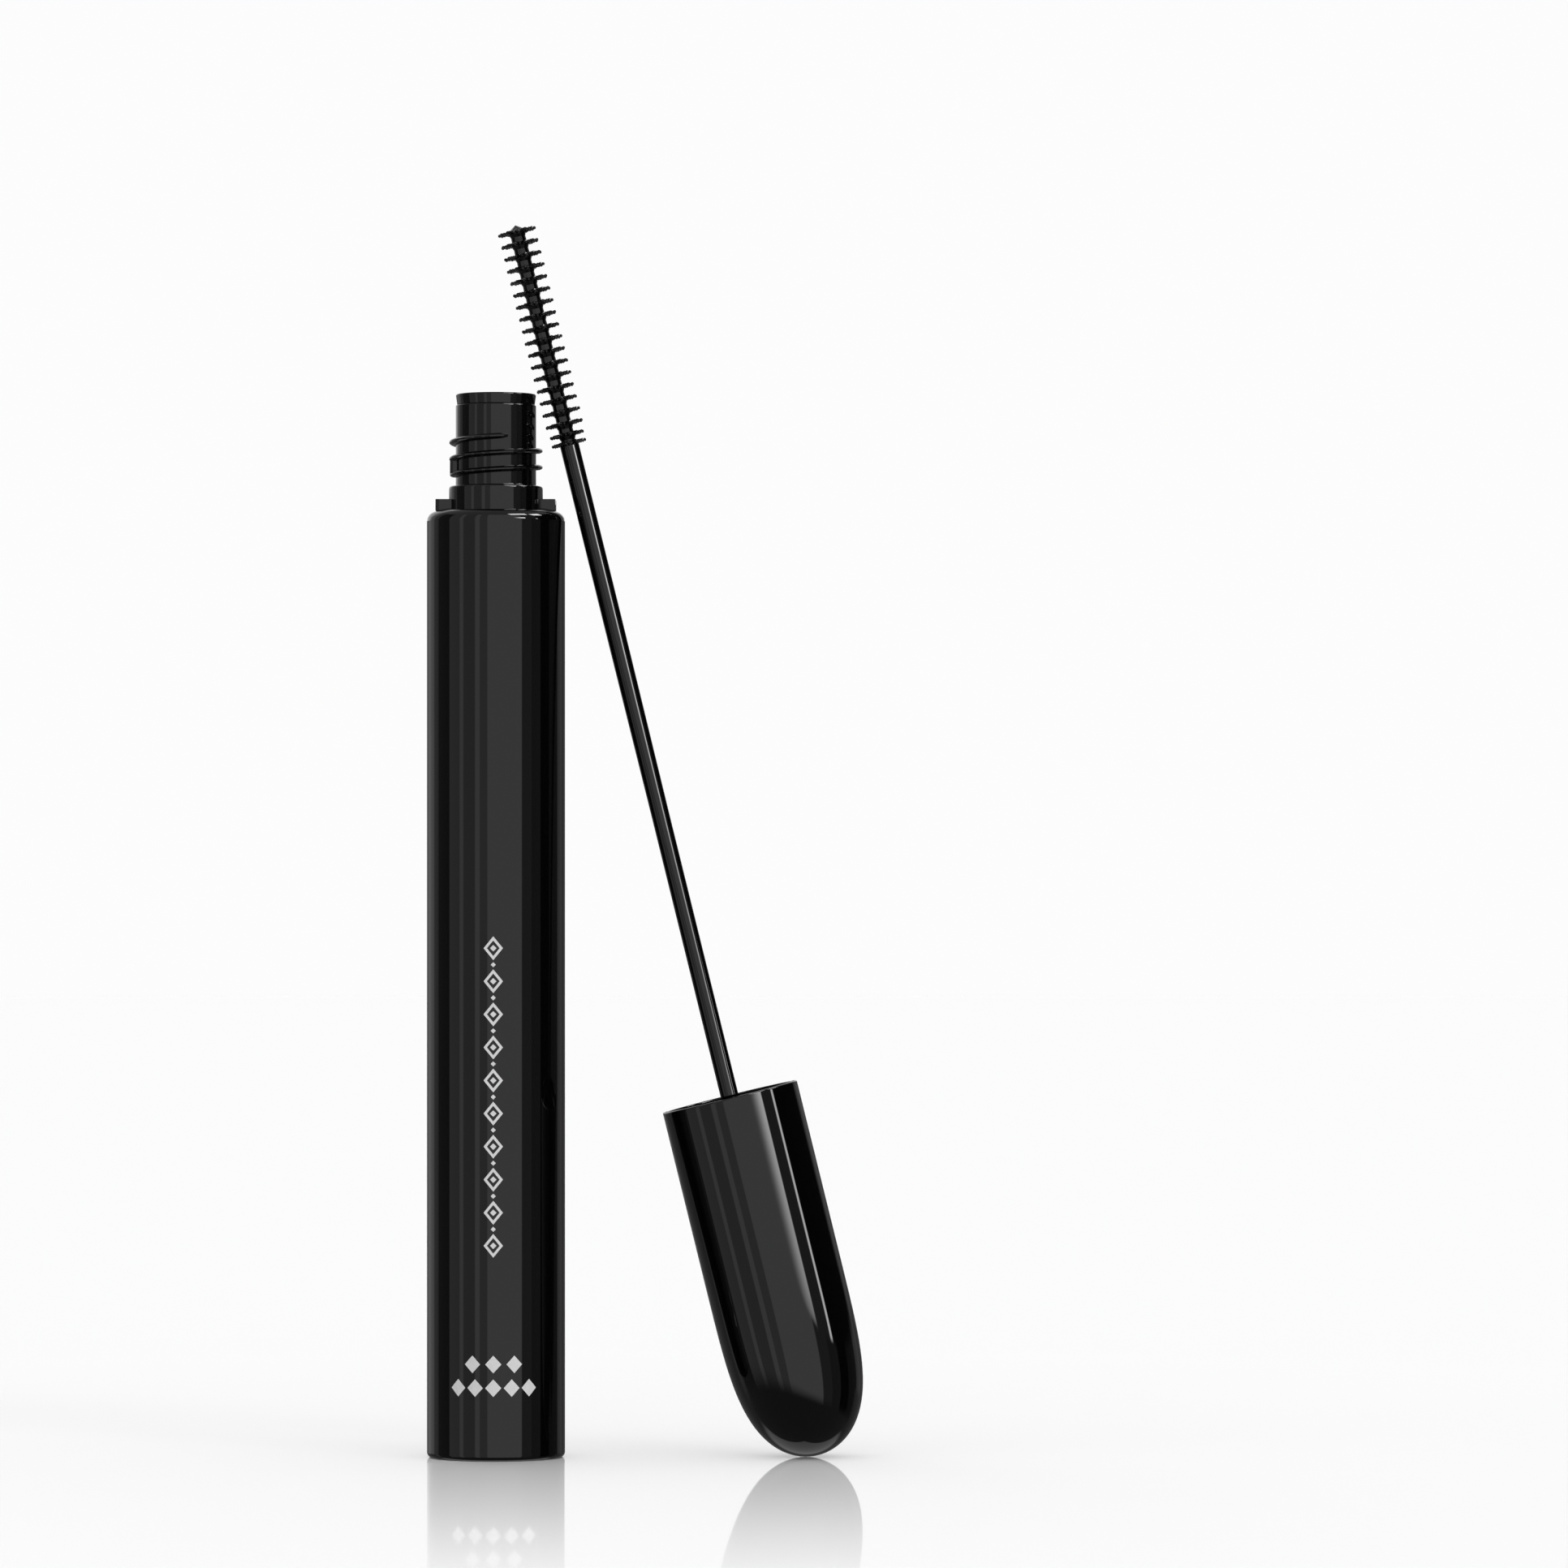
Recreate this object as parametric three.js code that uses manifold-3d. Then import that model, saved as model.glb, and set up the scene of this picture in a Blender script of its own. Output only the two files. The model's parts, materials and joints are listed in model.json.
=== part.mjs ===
// A mascara, open: a slim round tube with a threaded neck, and its applicator (cap, stem and
// moulded brush) leaning on the rim of the neck. Millimetres, +Z up, with the origin at the
// centre of the tube's base. Everything but the leaning applicator is coaxial with Z.
import * as THREE from 'three';
import { mergeVertices } from 'three/addons/utils/BufferGeometryUtils.js';
import Module from 'manifold-3d';

const wasm = await Module();
wasm.setup();

// ---- driving dimensions -------------------------------------------------------------------

const tubeRadius = 7.5; // the sleeve and the cap share it, so they line up when closed
const shoulderHeight = 102.7; // floor to the flat shoulder of the sleeve
const capLength = 40.15; // mouth to the crown of the dome
const capStraight = 18; // mouth to where the dome begins
const domePower = 4.4; // how late the dome turns in
const fitGap = 0.3; // clearance between pieces that are pressed or screwed together

const sleeveWall = 0.8;
const shoulderThickness = 1;
const shoulderRound = 1.05;
const baseRound = 0.6;

const bottleWall = 1.2;
const collarRadius = 5.1;
const collarTop = 105.45;
const neckRadius = 4.38;
const neckTop = 114.05;
const neckBore = 3.3;

const threadCrest = 5.1;
const threadPitch = 1.79;
const threadTurns = 2.3;
const threadHalfWidth = 0.33;
const threadSunk = 0.25; // how far a thread's root lies inside the wall it stands on
const threadTopHeight = 110.75;
const threadTopAngle = -Math.PI * 0.4; // on the front of the neck, right of the middle
const stopRibWidth = 1.2; // forward of the neck's left side, where the cap's thread comes to rest

const lugReach = 6.5; // outer end of each lug from the axis
const lugHalfWidth = 1.8;
const lugTop = 104;

const wiperTop = 115.45;
const wiperFlange = 4.37;
const wiperWall = 0.55;
const wiperOrifice = 1.35;
const pasteLevel = 70;

const stemRadiusAtCap = 0.98;
const stemRadiusAtBrush = 1.045;
const stemLength = 72.9; // mouth of the cap to the foot of the brush

const ringCount = 19;
const ringRadius = 2.12;
const smallRingRadius = 1.93; // the last two rings, next to the stem
const spikesPerRing = 12;
const coreRadius = 0.84;
const waistRadius = 0.74;
const brushTip = 97.5; // mouth of the cap to the point of the brush
const pointLength = 0.75; // from the last ring to the point

const leanAngle = THREE.MathUtils.degToRad(13.83);
const mouthX = 25.4; // the cap's mouth, leaning: sideways from the tube
const mouthZ = 39.17; // and up from the floor, with the dome standing on it

// ---- shape helpers --------------------------------------------------------------------------

const point = (x, y) => new THREE.Vector2(x, y);

// Points of a round corner from one angle to another, both ends included.
function arcPoints(x, y, radius, from, to, steps = 4) {
  const points = [];
  for (let i = 0; i <= steps; i++) {
    const angle = from + ((to - from) * i) / steps;
    points.push(point(x + radius * Math.cos(angle), y + radius * Math.sin(angle)));
  }
  return points;
}

// Turns an outline of (radius, height) points about Z. The outline is closed, or ends on the axis.
function turned(outline, segments = 32) {
  const onAxis = outline[0].x === 0 && outline[outline.length - 1].x === 0;
  const points = onAxis ? outline : [...outline, outline[0]];
  return new THREE.LatheGeometry(points, segments).rotateX(Math.PI / 2);
}

// A straight bar of a (radius, height) section, wound round Z as a ridge that rises with the angle.
// Its height over the root fades in at both ends.
function helicalRidge(section, root, turns, pitch, startAngle, startHeight) {
  const stepsPerTurn = 18;
  const steps = Math.round(turns * stepsPerTurn);
  const settings = { depth: 1, steps, bevelEnabled: false, curveSegments: 3 };
  const bar = new THREE.ExtrudeGeometry(section, settings);
  const position = bar.getAttribute('position');
  const fade = 0.04;
  const leastSwell = 0.1;
  for (let i = 0; i < position.count; i++) {
    const along = position.getZ(i);
    const nearEnd = Math.min(1, along / fade, (1 - along) / fade);
    const swell = Math.sqrt(leastSwell + (1 - leastSwell) * Math.max(0, nearEnd));
    const radius = root + (position.getX(i) - root) * swell;
    const angle = startAngle + along * turns * 2 * Math.PI;
    position.setXYZ(
      i,
      radius * Math.cos(angle),
      radius * Math.sin(angle),
      startHeight + position.getY(i) + along * turns * pitch,
    );
  }
  return bar;
}

function signedVolume(vertices, triangles) {
  const [a, b, c] = [new THREE.Vector3(), new THREE.Vector3(), new THREE.Vector3()];
  let six = 0;
  for (let i = 0; i < triangles.length; i += 3) {
    a.fromArray(vertices, triangles[i] * 3);
    b.fromArray(vertices, triangles[i + 1] * 3);
    c.fromArray(vertices, triangles[i + 2] * 3);
    six += a.dot(b.cross(c));
  }
  return six;
}

// A closed geometry as a solid that can be joined and cut. Turned inside out where it faces in.
function solid(geometry) {
  const bare = geometry.clone();
  bare.deleteAttribute('normal');
  bare.deleteAttribute('uv');
  const merged = mergeVertices(bare, 1e-4);
  const vertProperties = Float32Array.from(merged.getAttribute('position').array);
  const all = Array.from(merged.getIndex().array);
  const kept = [];
  for (let i = 0; i < all.length; i += 3) {
    const [p, q, r] = all.slice(i, i + 3);
    if (p !== q && q !== r && r !== p) kept.push(p, q, r);
  }
  if (signedVolume(vertProperties, kept) < 0) kept.reverse();
  return new wasm.Manifold(new wasm.Mesh({ numProp: 3, vertProperties, triVerts: Uint32Array.from(kept) }));
}

function join(first, ...others) {
  return others.reduce((sum, other) => sum.add(other), first);
}

function named(name, body, { color, roughness, metalness = 0 }) {
  const mesh = body.getMesh();
  const geometry = new THREE.BufferGeometry();
  geometry.setAttribute('position', new THREE.BufferAttribute(mesh.vertProperties, 3));
  geometry.setIndex(new THREE.BufferAttribute(mesh.triVerts, 1));
  const result = new THREE.Mesh(geometry, new THREE.MeshStandardMaterial({ color, roughness, metalness }));
  result.name = name;
  return result;
}

// ---- finishes -------------------------------------------------------------------------------

const glossBlack = { color: 0x0b0b0c, roughness: 0.08 };
const mouldedBlack = { color: 0x101011, roughness: 0.22 };
const satinBlack = { color: 0x141415, roughness: 0.4 };
const softBlack = { color: 0x161617, roughness: 0.6 };
const wetBlack = { color: 0x050505, roughness: 0.15 };
const paperWhite = { color: 0xd8d8d6, roughness: 0.55 };

// ---- the tube ---------------------------------------------------------------------------------

const sleeveBore = tubeRadius - sleeveWall;
const bottleRadius = sleeveBore - fitGap;
const bottleBore = bottleRadius - bottleWall;
const bottleFoot = 2;
const boreFoot = bottleFoot + 1.4;
const boreRound = 1.5;
const plugThickness = 1.6;
const labelThickness = 0.2;
const labelRadius = 5.4;

// The outer sleeve: a plain cylinder open at the foot, with a flat shoulder round the collar.
function outerSleeve() {
  const shoulderHole = collarRadius + fitGap;
  const shoulderUnderside = shoulderHeight - shoulderThickness;
  return solid(turned([
    point(tubeRadius - baseRound, 0),
    ...arcPoints(tubeRadius - baseRound, baseRound, baseRound, -Math.PI / 2, 0).slice(1),
    ...arcPoints(tubeRadius - shoulderRound, shoulderHeight - shoulderRound, shoulderRound, 0, Math.PI / 2),
    point(shoulderHole, shoulderHeight),
    point(shoulderHole, shoulderUnderside),
    point(sleeveBore, shoulderUnderside),
    point(sleeveBore, 0),
  ]));
}

// The plug that closes the foot of the sleeve, with a shallow seat for the label.
function basePlug() {
  const plugRadius = sleeveBore - fitGap;
  const seatRadius = labelRadius + fitGap;
  const seatDepth = labelThickness + fitGap / 2;
  return solid(turned([
    point(0, seatDepth),
    point(seatRadius, seatDepth),
    point(seatRadius, 0),
    point(plugRadius, 0),
    point(plugRadius, plugThickness),
    point(0, plugThickness),
  ]));
}

function shadeLabel() {
  return solid(turned([
    point(0, 0),
    point(labelRadius, 0),
    point(labelRadius, labelThickness),
    point(0, labelThickness),
  ]));
}

// Section of the neck's thread: sunk into the neck, straight sided, with a round crest.
function neckThreadSection() {
  const sunk = neckRadius - threadSunk;
  const crestCentre = threadCrest - threadHalfWidth;
  const section = new THREE.Shape();
  section.moveTo(sunk, -threadHalfWidth);
  section.lineTo(crestCentre, -threadHalfWidth);
  section.absarc(crestCentre, 0, threadHalfWidth, -Math.PI / 2, Math.PI / 2);
  section.lineTo(sunk, threadHalfWidth);
  section.closePath();
  return section;
}

// The inner bottle: the vial inside the sleeve, its collar, and the threaded neck, in one moulding.
function innerBottle() {
  const bodyTop = shoulderHeight - shoulderThickness - fitGap;
  const footBevel = 1;
  const edge = 0.3;
  const boreNarrows = shoulderHeight - 4;
  const neckBoreFoot = shoulderHeight - 2;
  const vial = solid(turned([
    point(0, bottleFoot),
    point(bottleRadius - footBevel, bottleFoot),
    point(bottleRadius, bottleFoot + footBevel),
    point(bottleRadius, bodyTop),
    point(collarRadius, bodyTop),
    ...arcPoints(collarRadius - edge, collarTop - edge, edge, 0, Math.PI / 2, 2),
    point(neckRadius, collarTop),
    point(neckRadius, neckTop - edge / 2),
    point(neckRadius - edge / 2, neckTop),
    point(neckBore, neckTop),
    point(neckBore, neckBoreFoot),
    point(bottleBore, boreNarrows),
    ...arcPoints(bottleBore - boreRound, boreFoot + boreRound, boreRound, 0, -Math.PI / 2, 3),
    point(0, boreFoot),
  ]));
  const threadDrop = threadTurns * threadPitch;
  const thread = solid(helicalRidge(
    neckThreadSection(), neckRadius - threadSunk, threadTurns, threadPitch,
    threadTopAngle - threadTurns * 2 * Math.PI, threadTopHeight - threadDrop,
  ));
  return join(vial, thread, stopRib(), lug(1), lug(-1));
}

// The upright stop that joins two turns of the thread at the side of the neck.
function stopRib() {
  const depthInNeck = 1;
  const inner = neckRadius - depthInNeck;
  const outer = Math.sqrt(threadCrest ** 2 - stopRibWidth ** 2);
  const turnsFromSide = (threadTopAngle + Math.PI) / (2 * Math.PI);
  const upper = threadTopHeight - threadPitch * (1 + turnsFromSide);
  const rib = new THREE.BoxGeometry(outer - inner, stopRibWidth, threadPitch);
  return solid(rib.translate(-(outer + inner) / 2, -stopRibWidth / 2, upper - threadPitch / 2));
}

// One of the two flat lugs on either side of the collar, just above the shoulder.
function lug(side) {
  const depthInCollar = 0.6;
  const liftOffShoulder = 0.12;
  const inner = collarRadius - depthInCollar;
  const bottom = shoulderHeight + liftOffShoulder;
  const block = new THREE.BoxGeometry(lugReach - inner, 2 * lugHalfWidth, lugTop - bottom);
  return solid(block.translate((side * (lugReach + inner)) / 2, 0, (lugTop + bottom) / 2));
}

// The wiper: a flange on the rim of the neck, a thin sleeve inside it, and a lip that strips the brush.
function wiper() {
  const outside = neckBore - fitGap;
  const inside = outside - wiperWall;
  const flangeFoot = neckTop + fitGap;
  const sleeveFoot = 105.5;
  const lipFoot = 103.2;
  const lipHalfHeight = 0.2;
  const lipThickness = 0.25;
  const flangeEdge = 0.12;
  const mouthBevel = 0.4;
  return solid(turned([
    point(outside, flangeFoot),
    point(wiperFlange - flangeEdge, flangeFoot),
    point(wiperFlange, wiperTop - flangeEdge),
    point(wiperFlange - flangeEdge, wiperTop),
    point(inside + mouthBevel, wiperTop),
    point(inside, wiperTop - mouthBevel),
    point(inside, sleeveFoot + lipThickness),
    point(wiperOrifice, lipFoot + lipHalfHeight),
    point(wiperOrifice, lipFoot - lipHalfHeight),
    point(wiperOrifice + lipThickness, lipFoot - lipHalfHeight),
    point(outside, sleeveFoot),
  ]));
}

// The mascara itself: it fills the lower vial, and keeps the hollow that the brush leaves in it.
function mascaraPaste() {
  const radius = bottleBore - fitGap;
  const foot = boreFoot + fitGap;
  const hollowDepth = 5.5;
  const hollowRadius = 2.2;
  const hollowFootRadius = 0.9;
  const clingHeight = 0.8; // how far the paste climbs the wall of the vial
  const clingWidth = 1.2;
  return solid(turned([
    point(0, foot),
    point(radius - boreRound, foot),
    point(radius, foot + boreRound),
    point(radius, pasteLevel),
    point(radius - clingWidth, pasteLevel - clingHeight),
    point(hollowRadius, pasteLevel - 2 * clingHeight),
    point(hollowFootRadius, pasteLevel - 0.9 * hollowDepth),
    point(0, pasteLevel - hollowDepth),
  ], 24));
}

// ---- the applicator, drawn with the cap's mouth at its origin and the brush along +Z ----------

const shellWall = 0.6;
const shellBore = tubeRadius - shellWall;
const capBore = 5.45; // inside of the inner cap, clear of the neck's thread
const closedMouth = shoulderHeight + fitGap; // height of the cap's mouth when it is screwed down
const linerThickness = 0.8;
const linerFoot = closedMouth - wiperTop - fitGap; // just above the wiper's flange when closed
const ceiling = linerFoot - linerThickness - fitGap;
const socketEnd = -19.5;
const headRadius = 1.7;
const headLength = 1.5;

// Points down the cap's dome, from the end of the straight side to the crown.
function domePoints(radius, crown, steps) {
  const points = [];
  for (let i = 0; i <= steps; i++) {
    const t = Math.sin((Math.PI / 2) * (i / steps));
    const width = i === steps ? 0 : radius * Math.sqrt(1 - t ** domePower);
    points.push(point(width, -capStraight - t * (crown - capStraight)));
  }
  return points;
}

// The cap's outer shell: a glossy cup with a long soft dome.
function capShell() {
  const lip = 0.15;
  const crownThickness = 1.2;
  return solid(turned([
    ...domePoints(shellBore, capLength - crownThickness, 6).reverse(),
    point(shellBore, -lip),
    point(shellBore + lip, 0),
    point(tubeRadius - lip, 0),
    point(tubeRadius, -lip),
    ...domePoints(tubeRadius, capLength, 9),
  ]));
}

// Section of the inner cap's thread: it stands inwards, and runs between the turns on the neck.
function capThreadSection() {
  const sunk = capBore + threadSunk;
  const crest = neckRadius + fitGap;
  const crestCentre = crest + threadHalfWidth;
  const section = new THREE.Shape();
  section.moveTo(sunk, threadHalfWidth);
  section.lineTo(crestCentre, threadHalfWidth);
  section.absarc(crestCentre, 0, threadHalfWidth, Math.PI / 2, Math.PI * 1.5);
  section.lineTo(sunk, -threadHalfWidth);
  section.closePath();
  return section;
}

// The inner cap: the threaded cup that screws on the neck, with a socket that holds the stem.
function innerCap() {
  const outside = shellBore - fitGap;
  const mouth = closedMouth - lugTop - fitGap; // stops short of the lugs
  const skirtEnd = -16.5;
  const skirtWall = 0.9;
  const ceilingTop = ceiling - 1.6;
  const socketOutside = 3.1;
  const socketFloor = 1;
  const headTaper = 0.7;
  const stemHole = stemRadiusAtCap + fitGap;
  const headHole = headRadius + fitGap;
  const headRoom = headLength + fitGap;
  const cup = solid(turned([
    point(0, socketEnd),
    point(headHole, socketEnd),
    point(headHole, socketEnd + headRoom),
    point(stemHole, socketEnd + headRoom + headTaper),
    point(stemHole, ceiling),
    point(capBore, ceiling),
    point(capBore, mouth),
    point(outside, mouth),
    point(outside, skirtEnd),
    point(outside - skirtWall, skirtEnd),
    point(outside - skirtWall, ceilingTop),
    point(socketOutside, ceilingTop),
    point(socketOutside, socketEnd - socketFloor),
    point(0, socketEnd - socketFloor),
  ]));
  // Screwed down, this thread lies half way between the neck's first two turns and the next, and
  // its lower end rests against the stop rib. Closing turns the cap end over end.
  const fromRib = 0.15;
  const turns = 0.92;
  const turnsToTop = (Math.PI - fromRib - threadTopAngle) / (2 * Math.PI);
  const heightOnNeck = threadTopHeight + threadPitch * (turnsToTop + 0.5 - 2);
  const thread = helicalRidge(
    capThreadSection(), capBore + threadSunk, turns, threadPitch, fromRib, closedMouth - heightOnNeck,
  );
  return join(cup, solid(thread));
}

// The soft ring that seals the inner cap against the wiper's flange.
function capLiner() {
  const inside = stemRadiusAtCap + 2 * fitGap;
  const outside = capBore - 2 * fitGap;
  return solid(turned([
    point(inside, linerFoot - linerThickness),
    point(outside, linerFoot - linerThickness),
    point(outside, linerFoot),
    point(inside, linerFoot),
  ]));
}

const pinRadius = 0.5; // the brush's peg, which is pressed into the end of the stem
const pinLength = 4.5;

// The stem: a plain rod, slightly fatter towards the brush, with a head that snaps into the cap.
function stem() {
  const headFoot = socketEnd + fitGap;
  const end = stemLength - fitGap;
  const pinHole = pinRadius + fitGap;
  const headBevel = 0.3;
  const headTaper = 0.4;
  const swellFrom = 31;
  const swellTo = 53;
  return solid(turned([
    point(0, headFoot),
    point(headRadius - headBevel, headFoot),
    point(headRadius, headFoot + headBevel),
    point(headRadius, headFoot + headLength - fitGap),
    point(stemRadiusAtCap, headFoot + headLength + headTaper),
    point(stemRadiusAtCap, swellFrom),
    point(stemRadiusAtBrush, swellTo),
    point(stemRadiusAtBrush, end),
    point(pinHole, end),
    point(pinHole, end - pinLength - fitGap),
    point(0, end - pinLength - fitGap),
  ], 20));
}

// Heights of the bristle rings: the two small ones by the stem stand closer than the rest.
function ringHeights() {
  const footToFirst = 0.2;
  const firstGap = 0.95;
  const secondGap = 1.2;
  const first = stemLength + footToFirst;
  const second = first + firstGap;
  const third = second + secondGap;
  const last = brushTip - pointLength;
  const heights = [first, second];
  const evenGaps = ringCount - 3;
  for (let i = 0; i <= evenGaps; i++) heights.push(third + ((last - third) * i) / evenGaps);
  return heights;
}

const webWidth = 0.12; // the rim of a ring that joins the feet of its spikes

// One flat ring of spikes, each as thin at its tip as a bristle.
function bristleRing(radius, height, turn) {
  const valley = coreRadius + webWidth;
  const rootThickness = 0.34;
  const tipThickness = 0.18;
  const corners = [];
  for (let i = 0; i < 2 * spikesPerRing; i++) {
    const angle = turn + (i * Math.PI) / spikesPerRing;
    const reach = i % 2 === 0 ? radius : valley;
    corners.push(point(reach * Math.cos(angle), reach * Math.sin(angle)));
  }
  const outline = new THREE.Shape(corners);
  const disc = new THREE.ExtrudeGeometry(outline, { depth: 1, steps: 1, bevelEnabled: false });
  disc.translate(0, 0, -0.5);
  const position = disc.getAttribute('position');
  for (let i = 0; i < position.count; i++) {
    const outward = Math.hypot(position.getX(i), position.getY(i));
    const blend = Math.max(0, (outward - valley) / (radius - valley));
    position.setZ(i, position.getZ(i) * (rootThickness + (tipThickness - rootThickness) * blend));
  }
  return solid(disc.translate(0, 0, height));
}

// The brush: a waisted core with its rings of bristles and a small pointed tip, in one moulding.
function brush() {
  const heights = ringHeights();
  const pinEnd = stemLength - fitGap - pinLength;
  const bevel = 0.1;
  const core = [point(0, pinEnd), point(pinRadius, pinEnd), point(pinRadius, stemLength)];
  core.push(point(stemRadiusAtBrush - bevel, stemLength), point(coreRadius, heights[0]));
  for (let i = 1; i < heights.length; i++) {
    core.push(point(waistRadius, (heights[i - 1] + heights[i]) / 2), point(coreRadius, heights[i]));
  }
  core.push(point(coreRadius - bevel, heights[heights.length - 1] + bevel), point(0, brushTip));
  const rings = heights.map((height, i) => {
    const radius = i < 2 ? smallRingRadius : ringRadius;
    const turn = (i % 3) * (Math.PI / spikesPerRing) * (2 / 3);
    return bristleRing(radius, height, turn);
  });
  return join(solid(turned(core, 12)), ...rings);
}

// ---- the whole ----------------------------------------------------------------------------------

const tube = new THREE.Group();
tube.name = 'tube';
tube.add(
  named('outer_sleeve', outerSleeve(), glossBlack),
  named('base_plug', basePlug(), satinBlack),
  named('shade_label', shadeLabel(), paperWhite),
  named('inner_bottle', innerBottle(), mouldedBlack),
  named('wiper', wiper(), mouldedBlack),
  named('mascara_paste', mascaraPaste(), wetBlack),
);

const applicator = new THREE.Group();
applicator.name = 'applicator';
applicator.add(
  named('cap_shell', capShell(), glossBlack),
  named('inner_cap', innerCap(), satinBlack),
  named('cap_liner', capLiner(), softBlack),
  named('stem', stem(), glossBlack),
  named('brush', brush(), mouldedBlack),
);
applicator.rotation.y = -leanAngle;
applicator.position.set(mouthX, 0, mouthZ);

const mascara = new THREE.Group();
mascara.name = 'mascara';
mascara.add(tube, applicator);

export default mascara;
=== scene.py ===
# %% [markdown]
# # A mascara, open
# A slim gloss-black tube stands beside its applicator, which leans on the rim of the neck. Nearly
# everything here is a turned shape, so most pieces are outlines spun about an axis. What makes them
# read as polished black plastic is what they reflect, so the light gets as much care as the shapes.

# %% Load the frame
import bmesh
import bpy
import json
from math import cos, pi, radians, sin, sqrt, tan
from mathutils import Matrix, Vector


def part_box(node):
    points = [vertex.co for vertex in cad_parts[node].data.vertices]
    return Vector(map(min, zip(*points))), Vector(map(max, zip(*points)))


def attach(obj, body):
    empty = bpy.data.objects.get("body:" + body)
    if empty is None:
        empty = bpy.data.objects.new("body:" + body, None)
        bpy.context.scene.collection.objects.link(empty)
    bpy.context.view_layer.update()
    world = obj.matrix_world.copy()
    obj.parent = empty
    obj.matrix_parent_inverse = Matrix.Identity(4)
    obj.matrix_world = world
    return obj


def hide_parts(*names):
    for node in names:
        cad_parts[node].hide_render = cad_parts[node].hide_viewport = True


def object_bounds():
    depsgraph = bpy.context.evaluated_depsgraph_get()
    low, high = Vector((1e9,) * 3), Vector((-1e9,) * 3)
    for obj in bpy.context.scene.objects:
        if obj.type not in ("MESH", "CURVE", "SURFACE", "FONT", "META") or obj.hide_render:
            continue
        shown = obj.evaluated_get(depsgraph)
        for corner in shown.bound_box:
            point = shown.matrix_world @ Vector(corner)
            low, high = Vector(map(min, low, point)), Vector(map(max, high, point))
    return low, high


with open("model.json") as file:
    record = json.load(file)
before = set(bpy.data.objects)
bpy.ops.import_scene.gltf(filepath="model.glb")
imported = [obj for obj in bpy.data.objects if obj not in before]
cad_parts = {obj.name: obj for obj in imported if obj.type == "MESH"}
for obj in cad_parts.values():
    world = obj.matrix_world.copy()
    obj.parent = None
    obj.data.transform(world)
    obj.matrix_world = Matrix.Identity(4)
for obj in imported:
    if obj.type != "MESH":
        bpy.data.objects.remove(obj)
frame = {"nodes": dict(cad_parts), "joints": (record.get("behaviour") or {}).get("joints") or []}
CAD_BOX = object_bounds()
MM = 0.001

# %% [markdown]
# ## Camera
# A long lens, level with the middle of the tube, looks along +Y. A level camera keeps the tube's
# sides upright, and a little shift moves the picture up without tilting it.

# %% Camera
CAMERA_PLACE = Vector((31.3, -794, 60)) * MM
FIELD_OF_VIEW = 12.25
SHIFT_UP = 0.077


def add_camera(place, field_of_view, shift_up):
    """A level camera that looks along +Y."""
    lens = bpy.data.cameras.new("camera")
    lens.sensor_width = 36
    lens.angle = radians(field_of_view)
    lens.shift_y = shift_up
    lens.clip_start = 0.05
    lens.clip_end = 20
    camera = bpy.data.objects.new("camera", lens)
    camera.location = place
    camera.rotation_euler = (radians(90), 0, 0)
    bpy.context.scene.collection.objects.link(camera)
    bpy.context.scene.camera = camera
    return camera


camera = add_camera(CAMERA_PLACE, FIELD_OF_VIEW, SHIFT_UP)
print("camera", tuple(round(x, 4) for x in camera.location), f"lens {camera.data.lens:.0f} mm")

# %% [markdown]
# ## Where things are
# The tube stands on the origin. The applicator is easier to draw upright, with the cap's mouth at
# the origin and the brush above it, and then to lean over in one move. The joint that turns the
# applicator about its own axis says where the mouth is and which way the wand points.

# %% Main sizes, from the frame
joints = {joint["name"]: joint for joint in frame["joints"]}
twist = joints["applicator_twist"]
MOUTH = Vector(twist["pos_m"])
WAND = Vector(twist["axis"]).normalized()
LEAN = Matrix.Translation(MOUTH) @ Vector((0, 0, 1)).rotation_difference(WAND).to_matrix().to_4x4()

TUBE_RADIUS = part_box("outer_sleeve")[1].x / MM
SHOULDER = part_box("outer_sleeve")[1].z / MM
NECK_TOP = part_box("inner_bottle")[1].z / MM
LUG_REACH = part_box("inner_bottle")[1].x / MM
WIPER_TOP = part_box("wiper")[1].z / MM
FLANGE_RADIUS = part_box("wiper")[1].x / MM
print(f"tube {2 * TUBE_RADIUS:.1f} mm across, shoulder at {SHOULDER:.1f}, wiper at {WIPER_TOP:.1f}")

# %% [markdown]
# ## Nodes without the clutter
# Two small helpers. `Value` wraps a number socket, so that shader maths is written as ordinary
# arithmetic. `Nodes` makes every other node from one call: its type, its settings, its inputs.

# %% Shader maths
class Value:
    """A number socket that adds Math nodes when it is used in arithmetic."""

    def __init__(self, nodes, socket):
        self.nodes = nodes
        self.socket = socket

    def math(self, operation, *others, first=None):
        inputs = dict(enumerate([self if first is None else first, *others]))
        return self.nodes.value("ShaderNodeMath", {"operation": operation}, inputs)

    def __add__(self, other):
        return self.math("ADD", other)

    def __radd__(self, other):
        return self + other

    def __sub__(self, other):
        return self.math("SUBTRACT", other)

    def __rsub__(self, other):
        return self.math("SUBTRACT", self, first=other)

    def __mul__(self, other):
        return self.math("MULTIPLY", other)

    def __rmul__(self, other):
        return self * other

    def over(self, low, high):
        """0 below low, 1 above high, and smooth between."""
        settings = {"interpolation_type": "SMOOTHSTEP"}
        return self.nodes.value("ShaderNodeMapRange", settings, {0: self, 1: low, 2: high})


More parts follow.
